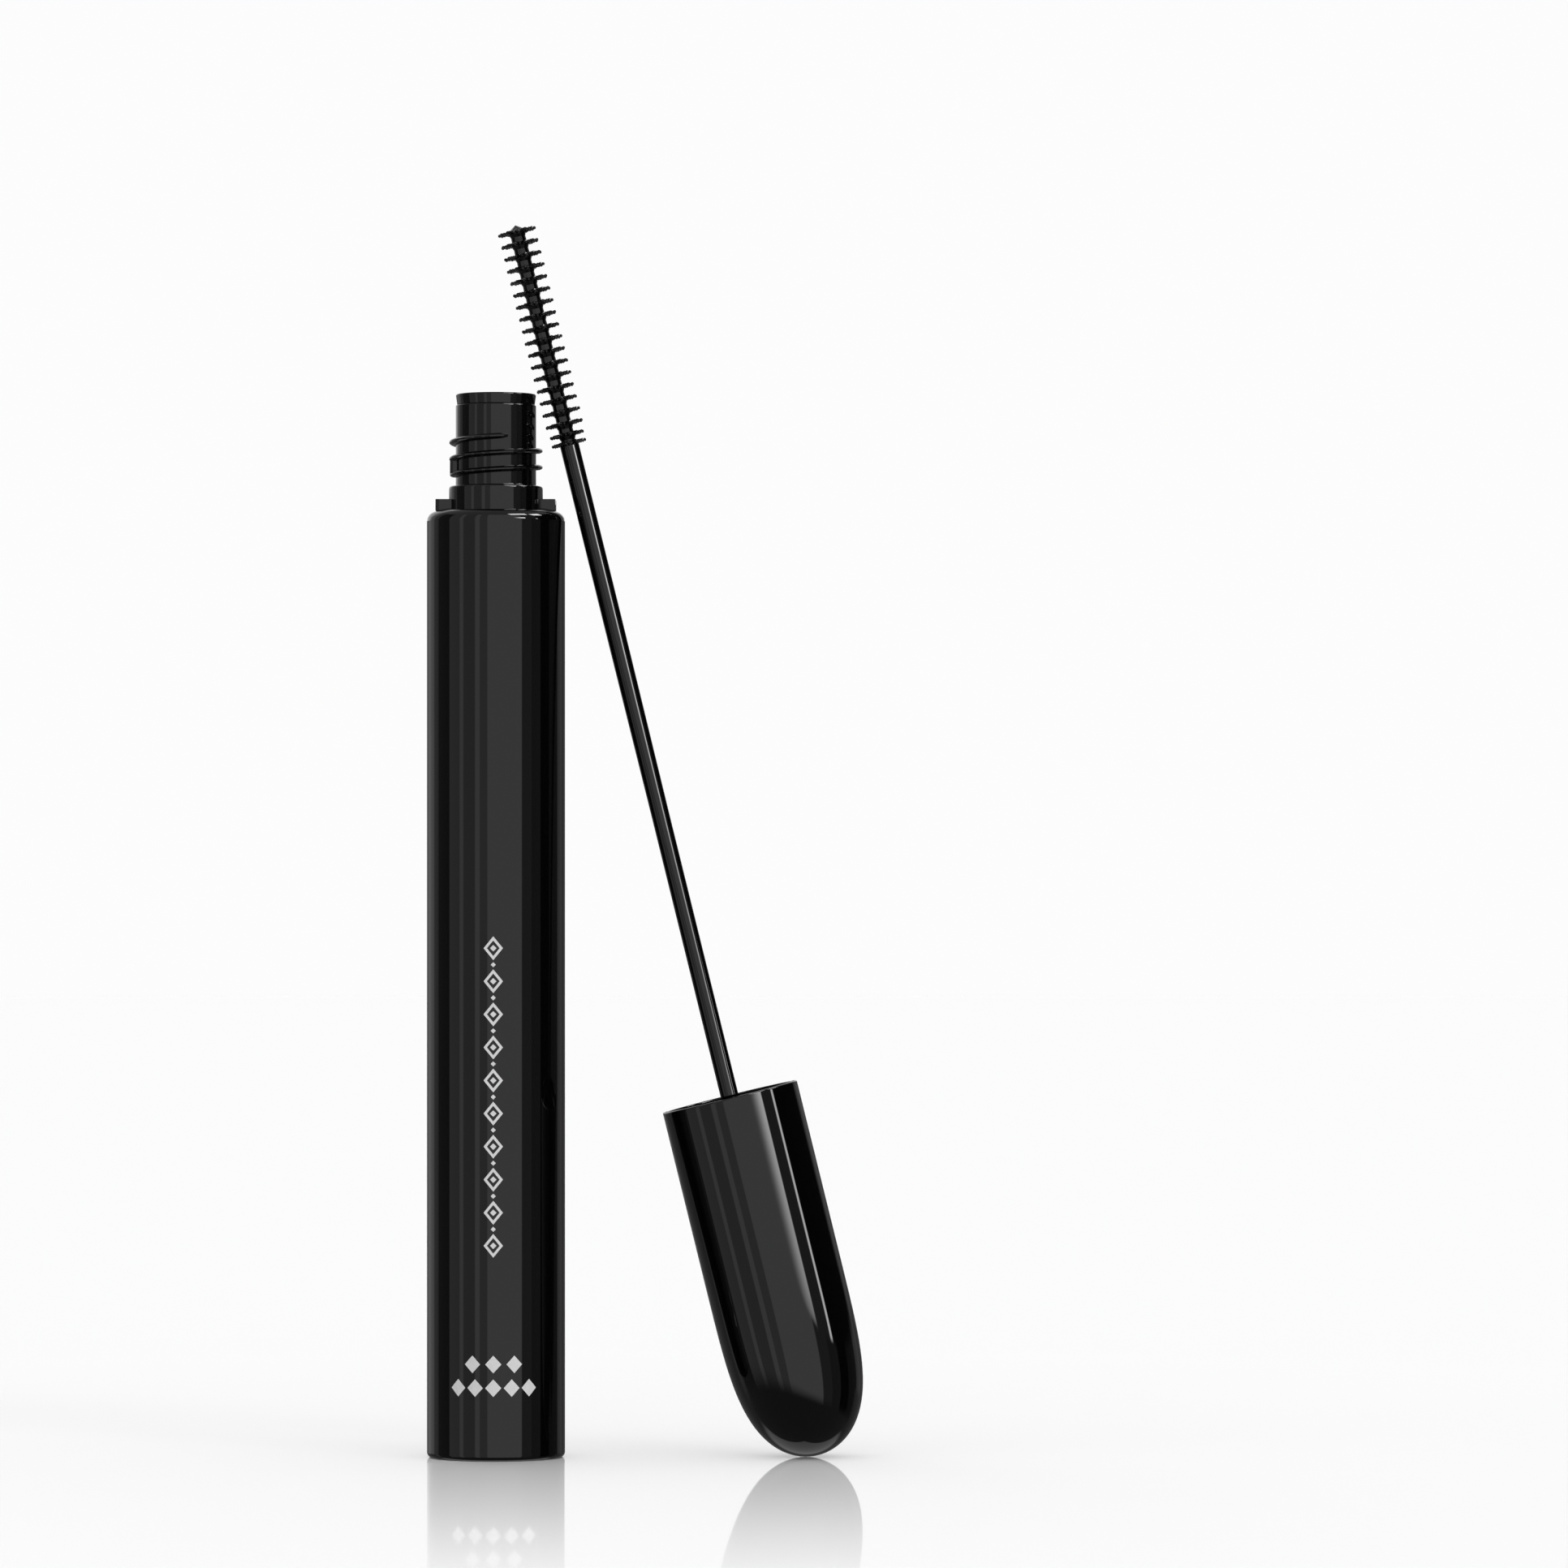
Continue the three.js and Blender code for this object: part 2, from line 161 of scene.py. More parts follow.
class Nodes:
    """The node tree of a material or a world."""

    def __init__(self, owner):
        owner.use_nodes = True
        self.tree = owner.node_tree
        self.tree.nodes.clear()

    def make(self, kind, settings=None, inputs=None):
        """A node of that type. Its settings are set first, then its inputs are set or linked."""
        node = self.tree.nodes.new(kind)
        for name, setting in (settings or {}).items():
            setattr(node, name, setting)
        for key, given in (inputs or {}).items():
            given = given.socket if isinstance(given, Value) else given
            if isinstance(given, bpy.types.NodeSocket):
                self.tree.links.new(given, node.inputs[key])
            else:
                node.inputs[key].default_value = given
        return node

    def value(self, kind, settings=None, inputs=None, output=0):
        return Value(self, self.make(kind, settings, inputs).outputs[output])

    def blend(self, factor, first, second):
        """A colour that goes from first to second."""
        mix = self.make("ShaderNodeMix", {"data_type": "RGBA"}, {0: factor, 6: first, 7: second})
        return mix.outputs[2]


# %% [markdown]
# ## Plastic
# Every piece is moulded plastic in some finish. Even a polished one isn't perfect: its shine clouds
# a little from place to place, the surface has a very shallow ripple, and handling leaves hairline
# scratches and specks of dust. The amounts are small and the sizes are real ones: ripple about
# 1 mm across, scratches about a tenth wide. They read Object coordinates, in metres, and the
# scratches are stretched along the piece, so the pattern is turned for the leaning pieces. The
# sizes below are in millimetres.

# %% Plastic finishes
CLOUD_SIZE = 9
RIPPLE_SIZE = 1.1
GRAIN_SIZE = 0.14
HAIRLINE_SIZE = 0.12
HAIRLINE_STRETCH = 14
SPECK_SIZE = 0.25
CLOUDING = 0.8
MARK_LIGHTNESS = 0.02
MARK_COVER = 0.3
MARK_ROUGHNESS = 0.16
SCRATCH_DEPTH = 0.02
BUMP_HEIGHT = 0.02


def moulded_plastic(name, color, roughness, ripple=0.04, wear=0.5, dust=0.5, lean=False, grain=0.0):
    """Moulded plastic: its colour, its shine, and how strong the ripple, wear, dust and grain are."""
    material = bpy.data.materials.new(name)
    nodes = Nodes(material)
    place = nodes.make("ShaderNodeTexCoord").outputs["Object"]
    tilt = LEAN.to_euler() if lean else (0, 0, 0)
    along = nodes.make("ShaderNodeMapping", {"vector_type": "TEXTURE"}, {
        "Vector": place,
        "Rotation": tilt,
        "Scale": (1, 1, HAIRLINE_STRETCH),
    }).outputs[0]

    def noise(vector, size, detail=2.0):
        """Cloudy noise whose features are about size millimetres across."""
        return nodes.value("ShaderNodeTexNoise", None, {
            "Vector": vector,
            "Scale": 1 / (size * MM),
            "Detail": detail,
        })

    clouds = noise(place, CLOUD_SIZE)
    hairlines = noise(along, HAIRLINE_SIZE, detail=4).over(0.66, 0.74) * wear
    specks = noise(place, SPECK_SIZE, detail=1).over(0.76, 0.82) * dust
    marks = (hairlines * 0.5 + specks).math("MINIMUM", 1.0)
    lighter = tuple(channel + MARK_LIGHTNESS for channel in color)
    shade = nodes.blend(marks * MARK_COVER, (*color, 1), (*lighter, 1))
    shine = roughness + (clouds - 0.5) * roughness * CLOUDING + marks * MARK_ROUGHNESS
    uneven = noise(place, RIPPLE_SIZE) * ripple + noise(place, GRAIN_SIZE, detail=3) * grain
    height = uneven - hairlines * SCRATCH_DEPTH
    bump = nodes.make("ShaderNodeBump", None, {
        "Strength": 0.35,
        "Distance": BUMP_HEIGHT * MM,
        "Height": height,
    }).outputs[0]
    shader = nodes.make("ShaderNodeBsdfPrincipled", None, {
        "Base Color": shade,
        "Roughness": shine,
        "IOR": 1.5,
        "Normal": bump,
    })
    nodes.make("ShaderNodeOutputMaterial", None, {"Surface": shader.outputs[0]})
    return material


POLISHED = (0.0009, 0.0009, 0.001)
gloss_black = moulded_plastic("gloss_black", POLISHED, 0.03)
gloss_black_leaning = moulded_plastic("gloss_black_leaning", POLISHED, 0.03, lean=True)
moulded_black = moulded_plastic("moulded_black", (0.0014, 0.0014, 0.0015), 0.04, wear=0.15, dust=0.1)
stem_black = moulded_plastic(
    "stem_black", (0.0012, 0.0012, 0.0013), 0.03, wear=0.2, dust=0.1, lean=True,
)
satin_black = moulded_plastic("satin_black", (0.003, 0.003, 0.0032), 0.25, grain=0.3)
soft_black = moulded_plastic("soft_black", (0.0018, 0.0018, 0.0019), 0.06, wear=0.15, dust=0.1)
bristle_black = moulded_plastic("bristle_black", (0.0018, 0.0018, 0.0019), 0.06, ripple=0.03, grain=0.03)
label_paper = moulded_plastic("label_paper", (0.72, 0.72, 0.7), 0.55, wear=0.2, dust=0.2, grain=1.0)
print(len(bpy.data.materials), "plastics")

# %% [markdown]
# The two finishes that differ: the printed ornament is an ink laid on the gloss, thin enough to
# show some of the shine and slightly worn, and the mascara is a thick wet paste.

# %% Ink and paste
printed_ink = moulded_plastic("printed_ink", (0.6, 0.6, 0.6), 0.3, wear=0.8, dust=0.3, grain=0.5)
wet_paste = moulded_plastic("wet_paste", (0.002, 0.002, 0.002), 0.09, ripple=3.0, grain=1.5)

# %% [markdown]
# ## Turned shapes
# An outline is a list of (radius, height) points in millimetres. A third number on a point is the
# radius of the arc that eases that corner: real mouldings have no sharp edges, and it is those
# small arcs that catch the light. The outline becomes a wire, and the Spin operator turns it.
#
# A point just beyond each end of an arc guards the straight part beside it. Smooth shading blends
# the directions of neighbouring faces, and without the guard the arc would bend the reflections of
# the whole straight side.

# %% Outline and spin helpers
ARC_STEPS = 5
GUARD = 0.03


def eased(outline):
    """The outline with an arc at each corner that has a radius."""
    eased_points = []
    for i, (x, z, *radius) in enumerate(outline):
        corner = Vector((x, z))
        if not radius:
            eased_points.append(corner)
            continue
        back = (Vector(outline[i - 1][:2]) - corner).normalized()
        ahead = (Vector(outline[(i + 1) % len(outline)][:2]) - corner).normalized()
        half = back.angle(ahead) / 2
        centre = corner + (back + ahead).normalized() * radius[0] / sin(half)
        tangent = radius[0] / tan(half)
        spoke = corner + back * tangent - centre
        side = 1 if spoke.cross(-back) > 0 else -1
        eased_points.append(corner + back * (tangent + GUARD))
        for step in range(ARC_STEPS + 1):
            turn = Matrix.Rotation(side * (pi - 2 * half) * step / ARC_STEPS, 2)
            eased_points.append(centre + turn @ spoke)
        eased_points.append(corner + ahead * (tangent + GUARD))
    return eased_points


def spin(outline, steps=96):
    """A bmesh of the outline turned about Z. The outline is closed, or both its ends are on the axis."""
    bm = bmesh.new()
    corners = [bm.verts.new((x * MM, 0, z * MM)) for x, z in eased(outline)]
    wire = [bm.edges.new(pair) for pair in zip(corners, corners[1:])]
    if outline[0][0] > 0:
        wire.append(bm.edges.new((corners[-1], corners[0])))
    bmesh.ops.spin(
        bm, geom=corners + wire, cent=(0, 0, 0), axis=(0, 0, 1),
        angle=2 * pi, steps=steps, use_merge=True,
    )
    bmesh.ops.remove_doubles(bm, verts=bm.verts, dist=1e-7)
    return bm


def finish_piece(name, bm, material, body, node=None, lean=False, crease=35):
    """Makes the bmesh a piece that rides on a body, and that stands for a CAD node if one is given."""
    if lean:
        bmesh.ops.transform(bm, matrix=LEAN, verts=bm.verts)
    bmesh.ops.recalc_face_normals(bm, faces=bm.faces)
    mesh = bpy.data.meshes.new(name)
    bm.to_mesh(mesh)
    bm.free()
    mesh.shade_smooth()
    mesh.set_sharp_from_angle(angle=radians(crease))
    mesh.materials.append(material)
    piece = bpy.data.objects.new(name, mesh)
    bpy.context.scene.collection.objects.link(piece)
    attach(piece, body)
    if node:
        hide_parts(node)
    print(f"{name}: {len(mesh.vertices)} points, {len(mesh.polygons)} faces")
    return piece


# %% [markdown]
# ## The sleeve
# The polished outer tube. Its shoulder rolls over in a soft arc to a flat top with a hole for the
# collar, and it is open at the foot, where a plug closes it.

# %% Sleeve
SLEEVE_WALL = 0.8
COLLAR_RADIUS = 5.1
SHOULDER_THICKNESS = 1
SHOULDER_ROUND = 1.05
FOOT_ROUND = 0.55
EDGE_ROUND = 0.15
FINE_STEPS = 144

sleeve_bore = TUBE_RADIUS - SLEEVE_WALL
collar_hole = COLLAR_RADIUS + 0.1
shoulder_underside = SHOULDER - SHOULDER_THICKNESS
sleeve = spin([
    (TUBE_RADIUS, 0, FOOT_ROUND),
    (TUBE_RADIUS, SHOULDER, SHOULDER_ROUND),
    (collar_hole, SHOULDER, EDGE_ROUND),
    (collar_hole, shoulder_underside),
    (sleeve_bore, shoulder_underside),
    (sleeve_bore, 0, EDGE_ROUND),
], steps=FINE_STEPS)
finish_piece("sleeve", sleeve, gloss_black, "tube", "outer_sleeve")

# %% [markdown]
# ## Foot plug and label
# Hidden when the tube stands, but seen when it is picked up. The plug has a shallow seat, and the
# label, left blank, is a paper disc stuck in it.

# %% Foot plug and label
PRESSED_IN = 0.2  # how much nearer two pressed pieces are drawn than they stand in the CAD
label_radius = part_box("shade_label")[1].x / MM
label_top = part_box("shade_label")[1].z / MM
plug_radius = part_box("base_plug")[1].x / MM + PRESSED_IN
plug_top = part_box("base_plug")[1].z / MM
seat_radius = label_radius + PRESSED_IN
foot_plug = spin([
    (0, label_top),
    (seat_radius, label_top),
    (seat_radius, 0, 0.05),
    (plug_radius, 0, 0.2),
    (plug_radius, plug_top, 0.2),
    (0, plug_top),
])
finish_piece("foot_plug", foot_plug, satin_black, "tube", "base_plug")
base_label = spin([(0, 0), (label_radius, 0, 0.04), (label_radius, label_top), (0, label_top)])
finish_piece("base_label", base_label, label_paper, "tube", "shade_label")

# %% [markdown]
# ## A wound ridge
# The threads are round ridges that climb as they go round. One section is extruded step by step,
# each step turned and lifted a little, and shrunk into the wall at both ends so that the ridge
# runs out smoothly. Edge extrusion in a loop gives control that a single Spin wouldn't.

# %% Thread helpers
def edges_of(points):
    """The edges at the points, each once. A dict keeps their order, and a set wouldn't."""
    return list(dict.fromkeys(edge for point in points for edge in point.link_edges))


def wound_ridge(bm, radius, thickness, reach, top_angle, top_height, turns, pitch, steps=110):
    """Adds a right-handed ridge to the bmesh, wound down from its top end.
    Its section is an oval about the radius, thickness high, that reaches in and out by reach."""
    fade = 0.012
    least_swell = 0.3
    round_points = 14
    start = Matrix.Translation((radius * MM, 0, top_height * MM)) @ Matrix.Rotation(pi / 2, 4, "X")
    oval = bmesh.ops.create_circle(bm, segments=round_points, radius=0.5)["verts"]
    bmesh.ops.scale(bm, vec=Vector((2 * reach, thickness, 1)) * MM, verts=oval)
    bmesh.ops.transform(bm, matrix=start, verts=oval)
    bmesh.ops.rotate(bm, cent=(0, 0, 0), matrix=Matrix.Rotation(top_angle, 3, "Z"), verts=oval)
    edges = edges_of(oval)
    first_edges = edges
    turn = -turns * 2 * pi / steps
    drop = Vector((0, 0, -turns * pitch * MM / steps))

    def swell(step):
        nearest_end = min(step, steps - step) / steps
        return sqrt(least_swell + (1 - least_swell) * min(1, nearest_end / fade))

    bmesh.ops.scale(bm, vec=(swell(0),) * 3, verts=oval, space=centred(oval))
    for step in range(1, steps + 1):
        grown = bmesh.ops.extrude_edge_only(bm, edges=edges)["geom"]
        ring = [part for part in grown if isinstance(part, bmesh.types.BMVert)]
        edges = [part for part in grown if isinstance(part, bmesh.types.BMEdge)]
        bmesh.ops.rotate(bm, cent=(0, 0, 0), matrix=Matrix.Rotation(turn, 3, "Z"), verts=ring)
        bmesh.ops.translate(bm, vec=drop, verts=ring)
        change = swell(step) / swell(step - 1)
        bmesh.ops.scale(bm, vec=(change,) * 3, verts=ring, space=centred(ring))
    bmesh.ops.edgeloop_fill(bm, edges=first_edges)
    bmesh.ops.edgeloop_fill(bm, edges=edges)


def centred(points):
    """The space whose origin is the middle of the points."""
    middle = sum((point.co for point in points), Vector()) / len(points)
    return Matrix.Translation(-middle)


def block(bm, low, high, ease):
    """Adds a box between two corners, in millimetres, with its edges eased."""
    low, high = Vector(low) * MM, Vector(high) * MM
    made = bmesh.ops.create_cube(bm, size=1)["verts"]
    bmesh.ops.scale(bm, vec=high - low, verts=made)
    bmesh.ops.translate(bm, vec=(low + high) / 2, verts=made)
    edges = edges_of(made)
    bmesh.ops.bevel(
        bm, geom=edges, offset=ease * MM, offset_type="OFFSET", affect="EDGES",
        segments=3, profile=0.5, material=-1,
    )


# %% [markdown]
# ## The inner bottle and its neck
# One moulding: a vial inside the sleeve, a collar that stands out of the shoulder with a flat lug
# on either side, and the neck with its thread. A short upright rib joins two turns of the thread
# on the left, where the cap comes to rest.

# %% Inner bottle
COLLAR_TOP = 105.45
NECK_RADIUS = 4.38
THREAD_CREST = 5.1
THREAD_PITCH = 1.79
THREAD_TURNS = 2.3
THREAD_TOP_HEIGHT = 110.75
THREAD_TOP_ANGLE = -0.4 * pi
THREAD_THICKNESS = 0.66
THREAD_OUT = 0.1  # from the wall out to the middle of the ridge
NECK_BORE = 3.3
VIAL_WALL = 1.2
VIAL_FLOOR = 1.4
VIAL_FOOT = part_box("inner_bottle")[0].z / MM

vial_radius = sleeve_bore - 0.15
vial_bore = vial_radius - VIAL_WALL
vial_top = shoulder_underside - 0.1
neck_rim = NECK_TOP + 0.22  # it all but touches the wiper's flange
bottle = spin([
    (0, VIAL_FOOT),
    (vial_radius, VIAL_FOOT, 1),
    (vial_radius, vial_top, 0.2),
    (COLLAR_RADIUS, vial_top),
    (COLLAR_RADIUS, COLLAR_TOP, 0.25),
    (NECK_RADIUS, COLLAR_TOP, 0.12),
    (NECK_RADIUS, neck_rim, 0.15),
    (NECK_BORE, neck_rim, 0.1),
    (NECK_BORE, SHOULDER - 2),
    (vial_bore, SHOULDER - 4),
    (vial_bore, VIAL_FOOT + VIAL_FLOOR, 1.5),
    (0, VIAL_FOOT + VIAL_FLOOR),
], steps=128)

ridge_radius = NECK_RADIUS + THREAD_OUT
wound_ridge(
    bottle, ridge_radius, thickness=THREAD_THICKNESS, reach=THREAD_CREST - ridge_radius,
    top_angle=THREAD_TOP_ANGLE, top_height=THREAD_TOP_HEIGHT, turns=THREAD_TURNS, pitch=THREAD_PITCH,
)

# %% Stop rib and lugs
RIB_WIDTH = 1.2
RIB_DEPTH = 1
LUG_HALF_WIDTH = 1.8
LUG_TOP = 104
LUG_DEPTH = 0.5
BLOCK_EASE = 0.05

turns_from_side = (THREAD_TOP_ANGLE + pi) / (2 * pi)
upper_turn = THREAD_TOP_HEIGHT - THREAD_PITCH * (1 + turns_from_side)
rib_reach = sqrt(THREAD_CREST ** 2 - RIB_WIDTH ** 2)
rib_low = (-rib_reach, -RIB_WIDTH, upper_turn - THREAD_PITCH)
block(bottle, rib_low, (RIB_DEPTH - NECK_RADIUS, 0, upper_turn), BLOCK_EASE)
for side in (-1, 1):
    left, right = sorted((side * (COLLAR_RADIUS - LUG_DEPTH), side * LUG_REACH))
    lug_low = (left, -LUG_HALF_WIDTH, SHOULDER + 0.02)
    block(bottle, lug_low, (right, LUG_HALF_WIDTH, LUG_TOP), BLOCK_EASE)
finish_piece("bottle_and_neck", bottle, moulded_black, "tube", "inner_bottle")

# %% [markdown]
# ## The wiper
# A soft sleeve pushed into the neck. Its flange is what shows: a short cone, widest at the top,
# with a groove under it. Inside, the sleeve narrows to the lip that strips the brush.

# %% Wiper
WIPER_SLEEVE_RADIUS = 3.1
WIPER_WALL = 0.6
WIPER_SLEEVE_FOOT = 105.5
WIPER_LIP = 103.2
ORIFICE = 1.35
LIP_HALF_HEIGHT = 0.2
LIP_THICKNESS = 0.25
FLANGE_TAPER = 0.16

wiper_bore = WIPER_SLEEVE_RADIUS - WIPER_WALL
flange_foot = NECK_TOP + 0.24
wiper = spin([
    (WIPER_SLEEVE_RADIUS, flange_foot),
    (FLANGE_RADIUS - FLANGE_TAPER, flange_foot, 0.06),
    (FLANGE_RADIUS, WIPER_TOP, 0.14),
    (wiper_bore, WIPER_TOP, 0.4),
    (wiper_bore, WIPER_SLEEVE_FOOT + 0.3, 0.3),
    (ORIFICE, WIPER_LIP + LIP_HALF_HEIGHT, 0.1),
    (ORIFICE, WIPER_LIP - LIP_HALF_HEIGHT, 0.05),
    (ORIFICE + LIP_THICKNESS, WIPER_LIP - LIP_HALF_HEIGHT, 0.05),
    (WIPER_SLEEVE_RADIUS, WIPER_SLEEVE_FOOT, 0.3),
])
finish_piece("wiper_insert", wiper, soft_black, "tube", "wiper")

# %% [markdown]
# ## The mascara
# The paste in the vial, with the hollow that the brush leaves in it. It is only seen through the
# wiper, so the CAD shape serves, with a wet finish.

# %% Mascara
for material_slot in frame["nodes"]["mascara_paste"].material_slots:
    material_slot.material = wet_paste

# %% [markdown]
# ## The printed ornament
# A pale print runs up the front of the tube, and a smaller block of it sits near the foot. Both are
# plain diamonds and dots. Each mark is a flat shape drawn on a plane, laid round the cylinder by
# turning every point's distance across into an angle, and given a hair of thickness.

# %% Print helpers
INK_HEIGHT = 0.015


def diamond(bm, x, z, width, height, line=None):
    """Adds a flat diamond in millimetres, centred at x and z: solid, or an outline of that line width."""
    made = bmesh.ops.create_circle(bm, segments=4, radius=0.5, cap_ends=True)["verts"]
    face = made[0].link_faces[0]
    bmesh.ops.transform(
        bm, verts=made, matrix=Matrix.Translation((x * MM, 0, z * MM))
        @ Matrix.Rotation(pi / 2, 4, "X") @ Matrix.Diagonal((width * MM, height * MM, 1, 1)),
    )
    if line:
        bmesh.ops.inset_region(
            bm, faces=[face], thickness=line * MM, use_boundary=True, use_even_offset=True,
        )
        bmesh.ops.delete(bm, geom=[face], context="FACES_ONLY")


def laid_on_tube(bm):
    """Lays flat marks, drawn in the X-Z plane, on the front of the tube and thickens them."""
    bmesh.ops.subdivide_edges(bm, edges=bm.edges, cuts=3, use_grid_fill=True)
    surface = (TUBE_RADIUS + INK_HEIGHT) * MM
    for point in bm.verts:
        angle = point.co.x / surface
        point.co = Vector((surface * sin(angle), -surface * cos(angle), point.co.z))
    bm.normal_update()
    facing_in = [face for face in bm.faces if face.normal.y > 0]
    bmesh.ops.reverse_faces(bm, faces=facing_in)
    bmesh.ops.solidify(bm, geom=bm.faces, thickness=2 * INK_HEIGHT * MM)
    return bm


# %% Printed column
COLUMN_FOOT = 21.5
COLUMN_HEAD = 57.1
COLUMN_WIDTH = 2.1
COLUMN_MARKS = 10
LINE_WIDTH = 0.28
HEART = 0.7
LINK = 0.55

column = bmesh.new()
column_pitch = (COLUMN_HEAD - COLUMN_FOOT) / COLUMN_MARKS
for i in range(COLUMN_MARKS):
    middle = COLUMN_FOOT + (i + 0.5) * column_pitch
    diamond(column, 0, middle, COLUMN_WIDTH, 0.72 * column_pitch, line=LINE_WIDTH)
    diamond(column, 0, middle, HEART, HEART)
    if i:
        diamond(column, 0, middle - column_pitch / 2, LINK, LINK)
finish_piece("printed_column", laid_on_tube(column), printed_ink, "tube")

# %% Printed block
BLOCK_WIDTH = 1.75
BLOCK_HEIGHT = 1.9
BLOCK_ROWS = (  # height of the row, number of diamonds, spacing
    (10.5, 3, 2.3),
    (7.95, 5, 2.0),
)
foot_print = bmesh.new()
for height, count, spacing in BLOCK_ROWS:
    for i in range(count):
        diamond(foot_print, (i - (count - 1) / 2) * spacing, height, BLOCK_WIDTH, BLOCK_HEIGHT)
finish_piece("printed_block", laid_on_tube(foot_print), printed_ink, "tube")

# %% [markdown]
# ## The cap
# A polished cup, straight for a little under half its length, and then drawn in to a long dome.
# The dome follows a superellipse: it leaves the straight part without a visible joint, turns in
# late, and ends round. Its points are taken at even angles, so they crowd where it bends most.

# %% Cap
CAP_STRAIGHT = 18
CAP_LENGTH = 40.15
DOME_POWER = 4.4
SHELL_WALL = 0.6
CROWN_THICKNESS = 1.2
DOME_STEPS = 36


def dome(radius, crown):
    """Outline points from the end of the straight part down to the crown."""
    points = []
    for step in range(DOME_STEPS + 1):
        t = sin(pi / 2 * step / DOME_STEPS)
        width = 0 if step == DOME_STEPS else radius * sqrt(1 - t ** DOME_POWER)
        points.append((width, -CAP_STRAIGHT - t * (crown - CAP_STRAIGHT)))
    return points


shell_bore = TUBE_RADIUS - SHELL_WALL
cap = spin([
    *reversed(dome(shell_bore, CAP_LENGTH - CROWN_THICKNESS)),
    (shell_bore, 0, 0.12),
    (TUBE_RADIUS, 0, 0.16),
    *dome(TUBE_RADIUS, CAP_LENGTH),
], steps=FINE_STEPS)
finish_piece(
    "domed_cap", cap, gloss_black_leaning, "applicator", "cap_shell", lean=True,
)

# %% [markdown]
# ## The inner cap
# The part of the cap that does the work: a threaded cup just inside its mouth, and a socket at the
# bottom that the stem snaps into. The dark ring inside the mouth is its rim.

# %% Inner cap
CAP_BORE = 5.45
CEILING = -13.85
CEILING_THICKNESS = 1.6
SOCKET_END = -19.5
SOCKET_RADIUS = 3.1
SOCKET_FLOOR = 1
HEAD_HOLE = 1.85
SKIRT_END = -16.5
SKIRT_WALL = 0.9
INNER_MOUTH = -1.3
STEM_RADIUS_AT_CAP = 0.98

inner_radius = shell_bore - 0.08
skirt_bore = inner_radius - SKIRT_WALL
stem_hole = STEM_RADIUS_AT_CAP + 0.04
inner_cap = spin([
    (0, SOCKET_END),
    (HEAD_HOLE, SOCKET_END),
    (HEAD_HOLE, SOCKET_END + 2),
    (stem_hole, SOCKET_END + 2.6),
    (stem_hole, CEILING, 0.1),
    (CAP_BORE, CEILING, 0.3),
    (CAP_BORE, INNER_MOUTH, 0.2),
    (inner_radius, INNER_MOUTH, 0.15),
    (inner_radius, SKIRT_END, 0.2),
    (skirt_bore, SKIRT_END, 0.2),
    (skirt_bore, CEILING - CEILING_THICKNESS, 0.4),
    (SOCKET_RADIUS, CEILING - CEILING_THICKNESS, 0.4),
    (SOCKET_RADIUS, SOCKET_END - SOCKET_FLOOR, 0.3),
    (0, SOCKET_END - SOCKET_FLOOR),
])

# %% Its thread, which runs between the turns on the neck
CAP_THREAD_TURNS = 0.92
CAP_THREAD_FOOT_ANGLE = 0.15
CAP_THREAD_TOP = -4.63
CLEAR_OF_NECK = 0.3

cap_ridge_radius = CAP_BORE - 0.05
wound_ridge(
    inner_cap, cap_ridge_radius, thickness=0.6, reach=cap_ridge_radius - NECK_RADIUS - CLEAR_OF_NECK,
    top_angle=CAP_THREAD_TURNS * 2 * pi + CAP_THREAD_FOOT_ANGLE, top_height=CAP_THREAD_TOP,
    turns=CAP_THREAD_TURNS, pitch=THREAD_PITCH, steps=60,
)
finish_piece(
    "threaded_inner_cap", inner_cap, satin_black, "applicator", "inner_cap", lean=True,
)

# %% [markdown]
# ## The liner
# A loose soft ring at the bottom of the inner cap. It seals against the wiper's flange.

# %% Liner
LINER_PLAY = 0.3
LINER_BACK = -13.8
LINER_FACE = -12.8
liner_hole = STEM_RADIUS_AT_CAP + LINER_PLAY
liner_radius = CAP_BORE - LINER_PLAY
liner = spin([
    (liner_hole, LINER_BACK, 0.1),
    (liner_radius, LINER_BACK, 0.1),
    (liner_radius, LINER_FACE, 0.2),
    (liner_hole, LINER_FACE, 0.2),
])
finish_piece("sealing_liner", liner, soft_black, "carried", "cap_liner", lean=True)

# %% [markdown]
# ## The stem
# A plain rod, a touch fatter towards the brush. Its head is inside the cap's socket, and its far
# end is chamfered where the brush starts.

# %% Stem
STEM_LENGTH = 72.9
STEM_RADIUS_AT_BRUSH = 1.045
STEM_HEAD_RADIUS = 1.7
SWELL_FROM = 31
SWELL_TO = 53

head_foot = SOCKET_END + 0.1
stem = spin([
    (0, head_foot),
    (STEM_HEAD_RADIUS, head_foot, 0.3),
    (STEM_HEAD_RADIUS, SOCKET_END + 1.8),
    (STEM_RADIUS_AT_CAP, SOCKET_END + 2.4),
    (STEM_RADIUS_AT_CAP, SWELL_FROM),
    (STEM_RADIUS_AT_BRUSH, SWELL_TO),
    (STEM_RADIUS_AT_BRUSH, STEM_LENGTH, 0.12),
    (0, STEM_LENGTH),
], steps=64)
finish_piece("wand_stem", stem, stem_black, "applicator", "stem", lean=True)

# %% [markdown]
# ## The brush
# A moulded brush: a faceted core with a waist between every two rings, and rings of spikes that
# stand straight out. A spike isn't smooth. It is a row of beads that get smaller towards a blunt
# round tip, which is what gives the brush its knobbly outline. One spike is spun with few facets,
# because there are over two hundred of them, and copied round each ring. Rings are turned against
# each other so that the spikes don't stand in rows.

